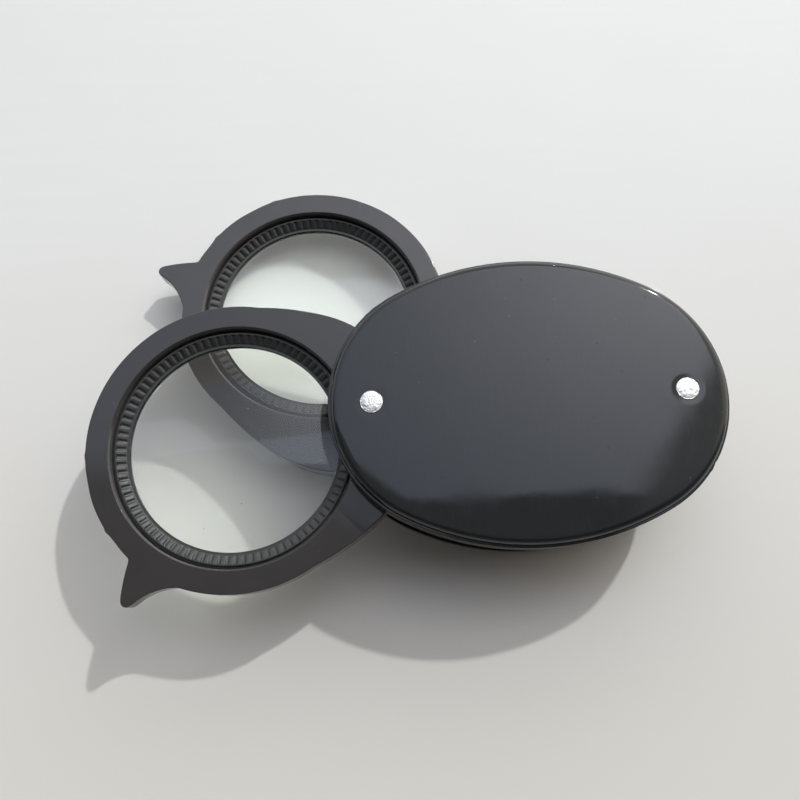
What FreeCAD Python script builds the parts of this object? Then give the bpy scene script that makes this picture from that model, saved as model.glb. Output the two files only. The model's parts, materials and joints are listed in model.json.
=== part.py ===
import FreeCAD, Part
import math
import os
import Sketcher
from FreeCAD import Vector

# A folding pocket magnifier. Two oval covers are held apart by two rivets. On the left rivet turn
# two identical lens frames, one above the other, which fold into the gap between the covers.
# The origin is the centre of the case on the surface it stands on: X runs along the case towards
# the rear rivet and Z is up. Both frames are drawn swung out to the left. Millimetres and degrees.

SIZES = [
    # alias, value, meaning
    ("case_length", 69.0, "oval case along X"),
    ("case_width", 51.0, "oval case along Y"),
    ("end_radius", 22.5, "radius of the oval's two end arcs"),
    ("wall", 1.5, "wall thickness of both covers"),
    ("rivet_offset", 26.9, "each rivet from the middle of the case"),
    ("bottom_boss", 2.9, "top of the bottom cover's bosses"),
    ("bottom_floor", 1.3, "thickness of the bottom cover's floor"),
    ("bottom_edge", 1.1, "rounding round the bottom cover's base"),
    ("bottom_inset", 1.0, "bottom cover inside the top cover's outline"),
    ("skirt_relief", 0.15, "how far each cover's skirt stops short of its bosses"),
    ("top_skirt", 4.0, "top cover from its bosses to its ledge"),
    ("top_hollow", 3.1, "depth of the hollow under the top cover"),
    ("ledge", 0.5, "width of the step round the top cover's dome"),
    ("dome_edge", 1.45, "height of the dome's edge above the ledge"),
    ("dome_rise", 0.4, "rise of the dome from its edge to its middle"),
    ("dome_round", 1.1, "rounding of the dome's edge"),
    ("crown_swing", 10, "angle turned by the cut that leaves the crown, past both sides"),
    ("headroom", 5.0, "how far the tool that cuts the dome reaches above and beyond it"),
    ("boss_radius", 4.0, "bosses round the rivets inside both covers"),
    ("shank_radius", 1.3, "rivet shank"),
    ("rivet_head", 1.95, "radius of a rivet's upper head"),
    ("rivet_crown", 0.75, "height of a rivet's upper head"),
    ("rivet_edge", 0.35, "upright edge of that head, and the width of its bevel"),
    ("rivet_fall", 0.1, "fall of its crown towards the bevel"),
    ("rivet_flat", 0.8, "radius of the flat in its middle"),
    ("spot_depth", 0.35, "how deep an upper head sits in the top cover"),
    ("spot_radius", 2.3, "spot face round a rivet's head"),
    ("rivet_foot", 2.1, "radius of a rivet's lower head"),
    ("foot_depth", 0.9, "depth of the recess that hides the lower head"),
    ("foot_gap", 0.15, "lower head above the base"),
    ("bore_gap", 0.03, "radial gap round the shank in the fixed parts"),
    ("running_gap", 0.05, "gap round the shank and beside each frame"),
    ("washer_thick", 0.2, "friction washers"),
    ("washer_radius", 3.2, "friction washers and spacer, outside"),
    ("spacer_length", 4.3, "spacer between the two lens frames"),
    ("post_radius", 2.2, "sleeve on the rear rivet"),
    ("frame_thick", 4.5, "lens frame"),
    ("frame_inset", 0.25, "pivot end inside the oval of the case"),
    ("frame_edge", 0.45, "rounding of a frame's upper and lower edges"),
    ("ring_offset", 25.15, "pivot to the middle of the lens"),
    ("ring_radius", 25.7, "outside of the round part of a frame"),
    ("shoulder", 7.6, "where the oval pivot end meets the round part"),
    ("sight_radius", 18.7, "opening in the underside of a frame"),
    ("lip_thick", 0.9, "lip that the lens rests on"),
    ("lens_seat", 20.35, "recess for the lens"),
    ("bore_radius", 21.47, "recess for the retaining ring"),
    ("bore_bevel", 0.3, "bevel at the mouth of that recess"),
    ("tab_thick", 3.6, "thumb tab"),
    ("tab_angle", 45.0, "direction of the tab seen from the middle of the lens"),
    ("tab_reach", 31.15, "middle of the tab's rounded tip from there"),
    ("tab_tip", 1.15, "radius of the tab's tip"),
    ("tab_root", 24.2, "tab's root from the middle of the lens"),
    ("tab_short", 4.1, "straight side of the tab's root, off its centre line"),
    ("tab_long", 7.8, "hollow side of the tab's root, off its centre line"),
    ("tab_hollow", 11.0, "radius of the tab's hollow side"),
    ("lens_radius", 20.3, "lens with its flat rim"),
    ("lens_rim", 1.2, "thickness of the lens's rim"),
    ("lens_clear", 18.6, "radius of the lens's curved faces"),
    ("lens_top", 2.2, "rise of the lens's upper face"),
    ("lens_under", 0.8, "drop of its lower face"),
    ("ring_base", 21.42, "flange of the retaining ring"),
    ("ring_flange", 0.75, "thickness of that flange"),
    ("ring_body", 20.95, "outside of the retaining ring above its flange"),
    ("ring_height", 1.35, "height of the retaining ring"),
    ("ring_bead", 0.4, "width of the smooth bead round its top"),
    ("ring_mouth", 18.58, "opening of the retaining ring"),
    ("mouth_land", 0.5, "smooth land round that opening"),
    ("mouth_height", 0.3, "thickness of the land"),
    ("rib_count", 90, "ribs round the retaining ring's slope"),
    ("rib_depth", 0.35, "depth of the notches between the ribs"),
    ("notch_angle", 2.1, "angle that one notch takes up"),
    ("upper_angle", 191.3, "upper frame from its folded place"),
    ("lower_angle", 116.1, "lower frame from its folded place"),
]

TOP_BOSS = (
    "(sheet.bottom_boss + 4 * sheet.washer_thick + 4 * sheet.running_gap"
    " + 2 * sheet.frame_thick + sheet.spacer_length)"
)
LEDGE_LEVEL = f"({TOP_BOSS} + sheet.top_skirt)"
LOWER_FRAME = "(sheet.bottom_boss + sheet.washer_thick + sheet.running_gap)"
UPPER_FRAME = f"({TOP_BOSS} - sheet.washer_thick - sheet.running_gap - sheet.frame_thick)"
END_X = "(sheet.case_length / 2 - sheet.end_radius)"
SIDE_RADIUS = (
    f"(({END_X}^2 + (sheet.case_width / 2)^2 - sheet.end_radius^2)"
    " / (sheet.case_width - 2 * sheet.end_radius))"
)
SIDE_Y = f"({SIDE_RADIUS} - sheet.case_width / 2)"
SHANK_HOLE = "sheet.shank_radius + sheet.bore_gap"
DOME_AT_RIVET = (
    f"({LEDGE_LEVEL} + sheet.dome_edge"
    " + sheet.dome_rise * (1 - (sheet.rivet_offset / (sheet.case_length / 2 - sheet.ledge))^2))"
)
HEAD_SEAT = f"({DOME_AT_RIVET} - sheet.spot_depth)"

START, END, CENTRE = 1, 2, 3
X_AXIS, Y_AXIS, ORIGIN = -1, -2, -1

doc = FreeCAD.newDocument("pocket_magnifier")
sheet = doc.addObject("Spreadsheet::Sheet", "sheet")
for row, (alias, number, meaning) in enumerate(SIZES, start=1):
    sheet.set(f"A{row}", meaning)
    sheet.set(f"B{row}", str(number))
    sheet.setAlias(f"B{row}", alias)
doc.recompute()
SIZE = {alias: number for alias, number, meaning in SIZES}


def end_x():
    return SIZE["case_length"] / 2 - SIZE["end_radius"]


def side_radius():
    half_width = SIZE["case_width"] / 2
    spread = end_x() ** 2 + half_width**2 - SIZE["end_radius"] ** 2
    return spread / (SIZE["case_width"] - 2 * SIZE["end_radius"])


def side_y():
    return side_radius() - SIZE["case_width"] / 2


def new_body(name):
    body = doc.addObject("PartDesign::Body", name)
    body.Label = name
    return body


def bind(target, **expressions):
    """Ties properties of a feature to the sheet; a double underscore stands for a dot."""
    for field, expression in expressions.items():
        target.setExpression(field.replace("__", "."), expression)


def new_sketch(body, name, plane="XY_Plane", level=None):
    """A sketch on one of the body's own planes, raised to a level above it if one is given."""
    sketch = body.newObject("Sketcher::SketchObject", name)
    support = [f for f in body.Origin.OriginFeatures if f.Role == plane][0]
    sketch.AttachmentSupport = [(support, "")]
    sketch.MapMode = "FlatFace"
    if level:
        bind(sketch, AttachmentOffset__Base__z=level)
    return sketch


def dimension(sketch, name, expression, *constraint):
    """Adds a named dimension to a sketch and ties it to the sheet."""
    sketch.addConstraint(Sketcher.Constraint(*constraint))
    sketch.renameConstraint(sketch.ConstraintCount - 1, name)
    sketch.setExpression(f"Constraints.{name}", expression)


def add(sketch, *constraint):
    sketch.addConstraint(Sketcher.Constraint(*constraint))


def arc(sketch, x, y, radius, first, last):
    """An arc from one angle to another, counter-clockwise, in degrees."""
    circle = Part.Circle(Vector(x, y, 0), Vector(0, 0, 1), radius)
    return sketch.addGeometry(Part.ArcOfCircle(circle, math.radians(first), math.radians(last)))


def line(sketch, a, b):
    return sketch.addGeometry(Part.LineSegment(Vector(*a, 0), Vector(*b, 0)))


def circle_sketch(body, name, radius, centre_x="0", plane_level=None):
    """One circle whose centre is on the X axis."""
    sketch = new_sketch(body, name, level=plane_level)
    ring = sketch.addGeometry(Part.Circle(Vector(1, 0, 0), Vector(0, 0, 1), 1.0))
    add(sketch, "PointOnObject", ring, CENTRE, X_AXIS)
    dimension(sketch, "radius", radius, "Radius", ring, 1.0)
    dimension(sketch, "centre_x", centre_x, "DistanceX", ORIGIN, START, ring, CENTRE, 1.0)
    return sketch


def oval_sketch(body, name, inset, level):
    """The four-arc oval of the case, drawn inside its outline by the inset."""
    sketch = new_sketch(body, name, level=level)
    turn = math.degrees(math.atan2(side_y(), end_x()))
    end_radius = SIZE["end_radius"] - evaluate(inset)
    long_radius = side_radius() - evaluate(inset)
    right = arc(sketch, end_x(), 0, end_radius, -turn, turn)
    top = arc(sketch, 0, -side_y(), long_radius, turn, 180 - turn)
    left = arc(sketch, -end_x(), 0, end_radius, 180 - turn, 180 + turn)
    under = arc(sketch, 0, side_y(), long_radius, 180 + turn, 360 - turn)
    sides = (right, top, left, under)
    for here, following in zip(sides, sides[1:] + sides[:1]):
        add(sketch, "Tangent", here, END, following, START)
    add(sketch, "PointOnObject", right, CENTRE, X_AXIS)
    add(sketch, "PointOnObject", left, CENTRE, X_AXIS)
    add(sketch, "PointOnObject", top, CENTRE, Y_AXIS)
    add(sketch, "Equal", right, left)
    add(sketch, "Equal", top, under)
    dimension(sketch, "end_radius", f"sheet.end_radius - {inset}", "Radius", right, end_radius)
    dimension(sketch, "end_x", END_X, "DistanceX", ORIGIN, START, right, CENTRE, end_x())
    dimension(sketch, "side_y", SIDE_Y, "DistanceY", top, CENTRE, ORIGIN, START, side_y())
    return sketch


def polygon_sketch(body, name, points, plane="XZ_Plane"):
    """A closed outline of straight lines. Each point is (x, y) as expressions in the sheet's names."""
    sketch = new_sketch(body, name, plane)
    values = [tuple(evaluate(part) for part in point) for point in points]
    for number, here in enumerate(values):
        line(sketch, here, values[(number + 1) % len(values)])
    for number in range(len(values)):
        add(sketch, "Coincident", number, END, (number + 1) % len(values), START)
    for number, (x, y) in enumerate(points):
        place(sketch, f"corner_{number}", number, x, y, values[number])
    return sketch


def place(sketch, name, geometry, x, y, values):
    """Holds a line's first point at (x, y). A zero puts it on the axis instead."""
    for letter, part, value, axis in (("x", x, values[0], Y_AXIS), ("y", y, values[1], X_AXIS)):
        if value == 0:
            add(sketch, "PointOnObject", geometry, START, axis)
        else:
            kind = "DistanceX" if letter == "x" else "DistanceY"
            dimension(sketch, f"{name}_{letter}", part, kind, ORIGIN, START, geometry, START, value)


def evaluate(expression):
    """The value that an expression in the sheet's names has with the sizes above."""
    result = sheet.evalExpression(expression)
    return float(getattr(result, "Value", result))


def pad(body, sketch, length, downwards=False):
    feature = body.newObject("PartDesign::Pad", f"{sketch.Name}_pad")
    feature.Profile = sketch
    feature.Reversed = downwards
    bind(feature, Length=length)
    return feature


def pocket(body, sketch, depth, upwards=False):
    """Cuts downwards from the sketch, or upwards."""
    before = volume(body)
    feature = body.newObject("PartDesign::Pocket", f"{sketch.Name}_pocket")
    feature.Profile = sketch
    feature.Reversed = upwards
    bind(feature, Length=depth)
    check_cut(body, feature, before)
    return feature


def revolve(body, sketch):
    feature = body.newObject("PartDesign::Revolution", f"{sketch.Name}_turned")
    feature.Profile = sketch
    feature.ReferenceAxis = (sketch, ["V_Axis"])
    feature.Angle = 360.0
    return feature


def groove(body, sketch, axis="V_Axis", angle=None):
    before = volume(body)
    feature = body.newObject("PartDesign::Groove", f"{sketch.Name}_groove")
    feature.Profile = sketch
    feature.ReferenceAxis = (sketch, [axis])
    feature.Angle = 360.0
    if angle:
        feature.Midplane = True
        bind(feature, Angle=angle)
    check_cut(body, feature, before)
    return feature


def volume(body):
    doc.recompute()
    return body.Shape.Volume


def check_cut(body, feature, before):
    doc.recompute()
    if body.Shape.Volume >= before:
        raise RuntimeError(f"{feature.Name} removed nothing from {body.Name}")


def fillet(body, name, radius, wanted):
    """Rounds every edge of the body so far that wanted(edge) picks."""
    doc.recompute()
    base = body.Tip
    edges = [f"Edge{n}" for n, e in enumerate(base.Shape.Edges, start=1) if wanted(e)]
    feature = body.newObject("PartDesign::Fillet", name)
    feature.Base = (base, edges)
    bind(feature, Radius=radius)
    doc.recompute()
    return feature


def at_level(edge, level, tolerance=0.01):
    box = edge.BoundBox
    return abs(box.ZMin - level) < tolerance and abs(box.ZMax - level) < tolerance


def on_oval(edge, inset, tolerance=0.05):
    """True for an edge that follows the case's oval at that inset."""
    point = edge.valueAt((edge.FirstParameter + edge.LastParameter) / 2)
    x, y = abs(point.x), abs(point.y)
    if y * end_x() < (x - end_x()) * side_y():
        off = math.hypot(x - end_x(), y) - SIZE["end_radius"]
    else:
        off = math.hypot(x, y + side_y()) - side_radius()
    return abs(off + inset) < tolerance


def bosses(body, level, height, downwards):
    for side, sign in (("pivot", "-"), ("rear", "")):
        sketch = circle_sketch(
            body, f"{body.Name}_{side}_boss", "sheet.boss_radius", f"{sign}sheet.rivet_offset", level
        )
        pad(body, sketch, height, downwards)


def rivet_holes(body, name, radius, level, depth, upwards=False):
    for side, sign in (("pivot", "-"), ("rear", "")):
        sketch = circle_sketch(
            body, f"{body.Name}_{side}_{name}", radius, f"{sign}sheet.rivet_offset", level
        )
        pocket(body, sketch, depth, upwards)


def make_bottom_cover():
    """A shallow oval pan with a flat base."""
    body = new_body("bottom_cover")
    skirt = "sheet.bottom_boss - sheet.skirt_relief"
    outline = oval_sketch(body, "bottom_outline", "sheet.bottom_inset", None)
    pad(body, outline, skirt)
    fillet(body, "bottom_base_round", "sheet.bottom_edge", lambda e: at_level(e, 0.0))
    wall = "(sheet.bottom_inset + sheet.wall)"
    hollow = oval_sketch(body, "bottom_hollow", wall, "sheet.bottom_floor")
    pocket(body, hollow, skirt, upwards=True)
    bosses(body, "sheet.bottom_floor", "sheet.bottom_boss - sheet.bottom_floor", False)
    rivet_holes(body, "hole", SHANK_HOLE, None, "sheet.bottom_boss", upwards=True)
    rivet_holes(body, "foot_recess", "sheet.spot_radius", None, "sheet.foot_depth", upwards=True)
    return body


def make_top_cover():
    """A crowned oval dome on a skirt, with a narrow step where they meet."""
    body = new_body("top_cover")
    skirt_level = f"{TOP_BOSS} + sheet.skirt_relief"
    skirt = oval_sketch(body, "top_skirt_outline", "0", skirt_level)
    pad(body, skirt, "sheet.top_skirt - sheet.skirt_relief")
    dome = oval_sketch(body, "top_dome_outline", "sheet.ledge", LEDGE_LEVEL)
    pad(body, dome, "sheet.dome_edge + sheet.dome_rise + sheet.headroom / 2")
    groove(body, crown_sketch(body), "Axis0", angle="sheet.crown_swing")
    round_level = evaluate(LEDGE_LEVEL) + SIZE["dome_round"]
    fillet(
        body, "top_dome_round", "sheet.dome_round",
        lambda e: e.BoundBox.ZMin > round_level and on_oval(e, SIZE["ledge"]),
    )
    hollow = oval_sketch(body, "top_hollow", "sheet.wall", TOP_BOSS)
    pocket(body, hollow, "sheet.top_hollow", upwards=True)
    bosses(body, f"{TOP_BOSS} + sheet.top_hollow", "sheet.top_hollow", True)
    rivet_holes(body, "hole", SHANK_HOLE, TOP_BOSS, f"{HEAD_SEAT} - {TOP_BOSS}", upwards=True)
    rivet_holes(body, "spot_face", "sheet.spot_radius", HEAD_SEAT, "sheet.headroom", upwards=True)
    return body


def crown_sketch(body):
    """The space above the dome, seen along Y. Turned about an axis far below, it leaves a crown."""
    sketch = new_sketch(body, "crown_section", "XZ_Plane")
    half_length = SIZE["case_length"] / 2 - SIZE["ledge"]
    half_width = SIZE["case_width"] / 2 - SIZE["ledge"]
    rise = SIZE["dome_rise"]
    top = evaluate(LEDGE_LEVEL) + SIZE["dome_edge"] + rise
    long_radius = half_length**2 / (2 * rise)
    turn_radius = half_width**2 / (2 * rise)
    clear = SIZE["headroom"]
    reach = SIZE["case_length"] / 2 + clear
    swing = math.degrees(math.asin(reach / long_radius))
    edge_drop = long_radius * (1 - math.cos(math.radians(swing)))
    crown = arc(sketch, 0, top - long_radius, long_radius, 90 - swing, 90 + swing)
    left = line(sketch, (-reach, top - edge_drop), (-reach, top + clear))
    roof = line(sketch, (-reach, top + clear), (reach, top + clear))
    right = line(sketch, (reach, top + clear), (reach, top - edge_drop))
    axis = line(sketch, (-reach, top - turn_radius), (reach, top - turn_radius))
    sketch.toggleConstruction(axis)
    add(sketch, "Coincident", crown, END, left, START)
    add(sketch, "Coincident", left, END, roof, START)
    add(sketch, "Coincident", roof, END, right, START)
    add(sketch, "Coincident", right, END, crown, START)
    add(sketch, "PointOnObject", crown, CENTRE, Y_AXIS)
    add(sketch, "Symmetric", roof, START, roof, END, Y_AXIS)
    for upright in (left, right):
        add(sketch, "Vertical", upright)
    add(sketch, "Symmetric", axis, START, axis, END, Y_AXIS)
    dome_top = f"({LEDGE_LEVEL} + sheet.dome_edge + sheet.dome_rise)"
    half_length_text = "(sheet.case_length / 2 - sheet.ledge)"
    half_width_text = "(sheet.case_width / 2 - sheet.ledge)"
    long_text = f"({half_length_text}^2 / (2 * sheet.dome_rise))"
    turn_text = f"({half_width_text}^2 / (2 * sheet.dome_rise))"
    dimension(sketch, "long_radius", long_text, "Radius", crown, long_radius)
    dimension(
        sketch, "crown_depth", f"{long_text} - {dome_top}",
        "DistanceY", crown, CENTRE, ORIGIN, START, long_radius - top,
    )
    dimension(
        sketch, "turn_depth", f"{turn_text} - {dome_top}",
        "DistanceY", axis, START, ORIGIN, START, turn_radius - top,
    )
    for name, stroke in (("reach", roof), ("axis_length", axis)):
        dimension(
            sketch, name, "sheet.case_length + 2 * sheet.headroom",
            "DistanceX", stroke, START, stroke, END, 2 * reach,
        )
    dimension(
        sketch, "clear", f"{dome_top} + sheet.headroom",
        "DistanceY", ORIGIN, START, roof, START, top + clear,
    )
    return sketch


def make_rivet(name, sign):
    """A plain shank with a low peened head above and a flat one in the base."""
    body = new_body(name)
    crown_level = f"{HEAD_SEAT} + sheet.rivet_crown"
    outline = [
        ("0", "sheet.foot_gap"),
        ("sheet.rivet_foot", "sheet.foot_gap"),
        ("sheet.rivet_foot", "sheet.foot_depth"),
        ("sheet.shank_radius", "sheet.foot_depth"),
        ("sheet.shank_radius", HEAD_SEAT),
        ("sheet.rivet_head", HEAD_SEAT),
        ("sheet.rivet_head", f"{HEAD_SEAT} + sheet.rivet_edge"),
        ("sheet.rivet_head - sheet.rivet_edge", f"{crown_level} - sheet.rivet_fall"),
        ("sheet.rivet_flat", crown_level),
        ("0", crown_level),
    ]
    revolve(body, polygon_sketch(body, f"{name}_section", outline))
    bind(body, Placement__Base__x=f"{sign}sheet.rivet_offset")
    return body


def make_sleeve(name, radius, level, length, sign="-"):
    """A washer, spacer or post: a tube on a rivet."""
    body = new_body(name)
    pad(body, circle_sketch(body, f"{name}_outside", radius), length)
    pocket(body, circle_sketch(body, f"{name}_bore", SHANK_HOLE), length, upwards=True)
    bind(body, Placement__Base__x=f"{sign}sheet.rivet_offset", Placement__Base__z=level)
    return body


def pivot_end_sketch(body):
    """The end of the frame round the pivot: it follows the case's oval when the frame is folded."""
    sketch = new_sketch(body, f"{body.Name}_pivot_end")
    inset = SIZE["frame_inset"]
    middle = SIZE["rivet_offset"]
    cut = SIZE["ring_offset"] - SIZE["shoulder"]
    radius = side_radius() - inset
    turn = math.degrees(math.atan2(side_y(), end_x()))
    start = math.degrees(math.acos((cut - middle) / radius))
    height = radius * math.sin(math.radians(start)) - side_y()
    top = arc(sketch, middle, -side_y(), radius, start, 180 - turn)
    nose = arc(sketch, middle - end_x(), 0, SIZE["end_radius"] - inset, 180 - turn, 180 + turn)
    under = arc(sketch, middle, side_y(), radius, 180 + turn, 360 - start)
    shut = line(sketch, (cut, -height), (cut, height))
    add(sketch, "Tangent", top, END, nose, START)
    add(sketch, "Coincident", nose, END, under, START)
    add(sketch, "Coincident", under, END, shut, START)
    add(sketch, "Coincident", shut, END, top, START)
    add(sketch, "Symmetric", shut, START, shut, END, X_AXIS)
    add(sketch, "Symmetric", nose, START, nose, END, X_AXIS)
    add(sketch, "Equal", top, under)
    dimension(
        sketch, "nose_radius", "sheet.end_radius - sheet.frame_inset",
        "Radius", nose, SIZE["end_radius"] - inset,
    )
    dimension(
        sketch, "nose_x", f"sheet.rivet_offset - {END_X}",
        "DistanceX", ORIGIN, START, nose, CENTRE, middle - end_x(),
    )
    dimension(
        sketch, "side_x", "sheet.rivet_offset",
        "DistanceX", ORIGIN, START, top, CENTRE, middle,
    )
    dimension(sketch, "side_y", SIDE_Y, "DistanceY", top, CENTRE, ORIGIN, START, side_y())
    dimension(
        sketch, "shoulder_x", "sheet.ring_offset - sheet.shoulder",
        "DistanceX", ORIGIN, START, shut, START, cut,
    )
    return sketch


def tab_sketch(body):
    """The thumb tab, drawn from the middle of the lens with its centre line along X."""
    sketch = new_sketch(body, f"{body.Name}_tab", level="sheet.frame_thick - sheet.tab_thick")
    bind(
        sketch,
        AttachmentOffset__Base__x="sheet.ring_offset",
        AttachmentOffset__Rotation__Angle="sheet.tab_angle",
    )
    root, reach, tip = SIZE["tab_root"], SIZE["tab_reach"], SIZE["tab_tip"]
    short, long, hollow = SIZE["tab_short"], SIZE["tab_long"], SIZE["tab_hollow"]
    lean = math.degrees(math.atan2(short, reach - root)) + math.degrees(
        math.asin(-tip / math.hypot(reach - root, short))
    )
    tip_start = lean - 90
    straight_end = (
        reach + tip * math.cos(math.radians(tip_start)),
        tip * math.sin(math.radians(tip_start)),
    )
    tip_end = 100
    straight = line(sketch, (root, -short), straight_end)
    nose = arc(sketch, reach, 0, tip, tip_start, tip_end)
    nose_end = (
        reach + tip * math.cos(math.radians(tip_end)),
        tip * math.sin(math.radians(tip_end)),
    )
    centre = hollow_centre(nose_end, (root, long), hollow)
    first = math.degrees(math.atan2(long - centre[1], root - centre[0]))
    last = math.degrees(math.atan2(nose_end[1] - centre[1], nose_end[0] - centre[0]))
    dip = arc(sketch, *centre, hollow, first % 360, last % 360)
    shut = line(sketch, (root, long), (root, -short))
    add(sketch, "Tangent", straight, END, nose, START)
    add(sketch, "Tangent", nose, END, dip, END)
    add(sketch, "Coincident", dip, START, shut, START)
    add(sketch, "Coincident", shut, END, straight, START)
    add(sketch, "PointOnObject", nose, CENTRE, X_AXIS)
    dimension(sketch, "tip_radius", "sheet.tab_tip", "Radius", nose, tip)
    dimension(sketch, "hollow_radius", "sheet.tab_hollow", "Radius", dip, hollow)
    dimension(sketch, "reach", "sheet.tab_reach", "DistanceX", ORIGIN, START, nose, CENTRE, reach)
    add(sketch, "Vertical", shut)
    dimension(sketch, "root", "sheet.tab_root", "DistanceX", ORIGIN, START, shut, START, root)
    dimension(sketch, "short_side", "sheet.tab_short", "DistanceY", shut, END, ORIGIN, START, short)
    dimension(sketch, "long_side", "sheet.tab_long", "DistanceY", ORIGIN, START, shut, START, long)
    return sketch


def hollow_centre(a, b, radius):
    """Centre of the arc of that radius through a and b, on the side away from the tab."""
    middle = ((a[0] + b[0]) / 2, (a[1] + b[1]) / 2)
    run = (b[0] - a[0], b[1] - a[1])
    span = math.hypot(*run)
    offset = math.sqrt(radius**2 - (span / 2) ** 2)
    return (middle[0] + run[1] / span * offset, middle[1] - run[0] / span * offset)


def lens_bore(body):
    """The stepped opening for the lens and its retaining ring, centred on the lens."""
    top = "sheet.frame_thick"
    seat = "sheet.lip_thick + sheet.lens_rim"
    steps = [
        ("sheet.sight_radius", "0", "sheet.lip_thick"),
        ("sheet.lens_seat", "sheet.lip_thick", seat),
        ("sheet.bore_radius", seat, top),
    ]
    for number, (radius, low, high) in enumerate(steps):
        sketch = circle_sketch(body, f"{body.Name}_bore_{number}", radius, "sheet.ring_offset", low)
        pocket(body, sketch, f"{high} - ({low})", upwards=True)
    doc.recompute()
    base = body.Tip
    mouth = [
        f"Edge{n}"
        for n, e in enumerate(base.Shape.Edges, start=1)
        if at_level(e, SIZE["frame_thick"]) and abs(radius_of(e) - SIZE["bore_radius"]) < 0.01
    ]
    bevel = body.newObject("PartDesign::Chamfer", f"{body.Name}_mouth_bevel")
    bevel.Base = (base, mouth)
    bind(bevel, Size="sheet.bore_bevel")


def radius_of(edge):
    return getattr(edge.Curve, "Radius", 0.0)


def make_lens_frame(name, angle, level):
    """A flat ring with an oval pivot end and a thorn-shaped thumb tab. Its own origin is the pivot."""
    body = new_body(name)
    pad(body, circle_sketch(body, f"{name}_round", "sheet.ring_radius", "sheet.ring_offset"),
        "sheet.frame_thick")
    pad(body, pivot_end_sketch(body), "sheet.frame_thick")
    faces = (0.0, SIZE["frame_thick"])
    fillet(
        body, f"{name}_edge_round", "sheet.frame_edge",
        lambda e: any(at_level(e, face) for face in faces),
    )
    pad(body, tab_sketch(body), "sheet.tab_thick")
    lens_bore(body)
    hole = circle_sketch(body, f"{name}_pivot_hole", "sheet.shank_radius + sheet.running_gap")
    pocket(body, hole, "sheet.frame_thick", upwards=True)
    put_on_pivot(body, angle, level, "0")
    return body


def put_on_pivot(body, angle, level, distance):
    """Turns a piece about the pivot by its frame's angle, at a distance along the frame."""
    turn = f"(sheet.{angle} * 1 deg)"
    bind(
        body,
        Placement__Base__x=f"{distance} * cos{turn} - sheet.rivet_offset",
        Placement__Base__y=f"{distance} * sin{turn}",
        Placement__Base__z=level,
        Placement__Rotation__Angle=f"sheet.{angle}",
    )


def make_lens(name, angle, level):
    """A clear double-convex lens with a flat rim."""
    body = new_body(name)
    sketch = new_sketch(body, f"{name}_section", "XZ_Plane")
    clear, rim = SIZE["lens_clear"], SIZE["lens_rim"]
    faces = []
    for base, bulge, direction in ((rim, SIZE["lens_top"], 1), (0.0, SIZE["lens_under"], -1)):
        radius = (clear**2 + bulge**2) / (2 * bulge)
        swing = math.degrees(math.asin(clear / radius))
        middle = base + direction * (bulge - radius)
        first = 90 - swing if direction > 0 else 270
        last = 90 if direction > 0 else 270 + swing
        faces.append(arc(sketch, 0, middle, radius, first, last))
    upper, lower = faces
    outside = SIZE["lens_radius"]
    top_land = line(sketch, (clear, rim), (outside, rim))
    wall = line(sketch, (outside, rim), (outside, 0))
    low_land = line(sketch, (outside, 0), (clear, 0))
    axis = line(sketch, (0, -SIZE["lens_under"]), (0, rim + SIZE["lens_top"]))
    add(sketch, "Coincident", axis, END, upper, END)
    add(sketch, "Coincident", upper, START, top_land, START)
    add(sketch, "Coincident", top_land, END, wall, START)
    add(sketch, "Coincident", wall, END, low_land, START)
    add(sketch, "Coincident", low_land, END, lower, END)
    add(sketch, "Coincident", lower, START, axis, START)
    for face in faces:
        add(sketch, "PointOnObject", face, CENTRE, Y_AXIS)
    add(sketch, "PointOnObject", axis, START, Y_AXIS)
    add(sketch, "PointOnObject", axis, END, Y_AXIS)
    add(sketch, "Horizontal", top_land)
    add(sketch, "Vertical", wall)
    add(sketch, "PointOnObject", wall, END, X_AXIS)
    add(sketch, "PointOnObject", low_land, END, X_AXIS)
    dimension(sketch, "rim", "sheet.lens_rim", "DistanceY", wall, END, wall, START, rim)
    dimension(sketch, "outside", "sheet.lens_radius", "DistanceX", ORIGIN, START, wall, END, outside)
    for side, land, point in (("top", top_land, START), ("low", low_land, END)):
        dimension(
            sketch, f"{side}_clear", "sheet.lens_clear",
            "DistanceX", ORIGIN, START, land, point, clear,
        )
    dimension(
        sketch, "crown", "sheet.lens_rim + sheet.lens_top",
        "DistanceY", ORIGIN, START, axis, END, rim + SIZE["lens_top"],
    )
    dimension(
        sketch, "belly", "sheet.lens_under",
        "DistanceY", axis, START, ORIGIN, START, SIZE["lens_under"],
    )
    revolve(body, sketch)
    put_on_pivot(body, angle, f"{level} + sheet.lip_thick", "sheet.ring_offset")
    return body


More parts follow.
